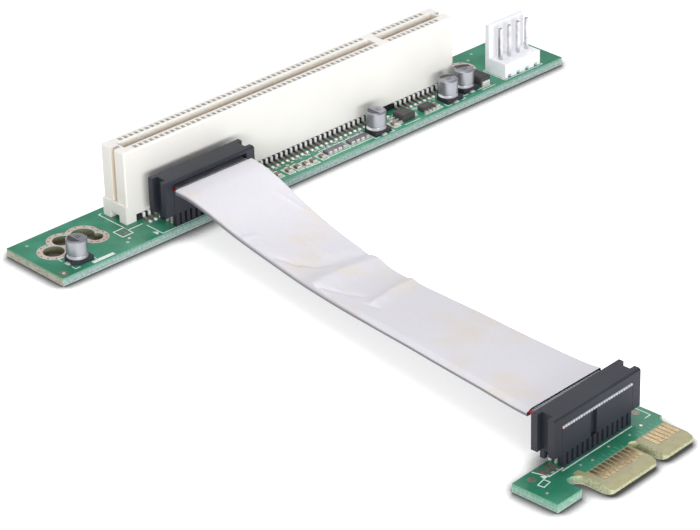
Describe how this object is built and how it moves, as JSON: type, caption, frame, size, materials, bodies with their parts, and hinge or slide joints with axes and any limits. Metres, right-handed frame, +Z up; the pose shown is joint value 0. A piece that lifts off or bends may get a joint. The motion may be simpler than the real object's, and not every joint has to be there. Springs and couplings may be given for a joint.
{
  "type": "riser card",
  "caption": "Flexible riser: long board with an expansion card slot, joined by a foil-wrapped ribbon cable to a small board with an edge plug.",
  "frame": {"origin": "middle of the long board's underside", "axes": "+X along the long board towards the power header, +Y from the cable side to the slot side, +Z up out of the board"},
  "size_m": [0.13, 0.1324, 0.0161],
  "materials": {
    "ivory_plastic": "moulded, semi-gloss",
    "white_plastic": "moulded, semi-gloss",
    "black_plastic": "moulded, fine satin",
    "green_board": "solder mask over glass-epoxy laminate",
    "tinned_metal": "tin plate and solder",
    "grey_ribbon": "flat cable insulation",
    "red_wire": "flat cable insulation, marked edge",
    "foil": "soft satin shielding foil",
    "can_aluminium": "drawn satin can",
    "dark_package": "moulded epoxy",
    "brown_ceramic": "sintered ceramic",
    "gold": "thin gold plate on copper"
  },
  "bodies": {
    "root": {"main_board": "green_board", "slot_housing": "ivory_plastic", "slot_contacts_front": "tinned_metal", "slot_contacts_back": "tinned_metal", "lead_guide": "black_plastic", "plug_covers": "black_plastic", "plug_bodies": "black_plastic", "plug_posts": "tinned_metal", "ribbon": "grey_ribbon", "edge_wire": "red_wire", "foil_wrap": "foil", "cap_bases": "black_plastic", "cap_cans": "can_aluminium", "cap_leads": "tinned_metal", "regulator_body": "dark_package", "regulator_leads": "tinned_metal", "driver_body": "dark_package", "driver_leads": "tinned_metal", "diode_body": "dark_package", "diode_terminals": "tinned_metal", "array_bodies": "dark_package", "array_terminals": "tinned_metal", "chip_bodies": "brown_ceramic", "chip_terminals": "tinned_metal", "header_housing": "white_plastic", "header_pins": "tinned_metal", "plug_board": "green_board", "edge_fingers_top": "gold", "edge_fingers_under": "gold"}
  },
  "joints": []
}
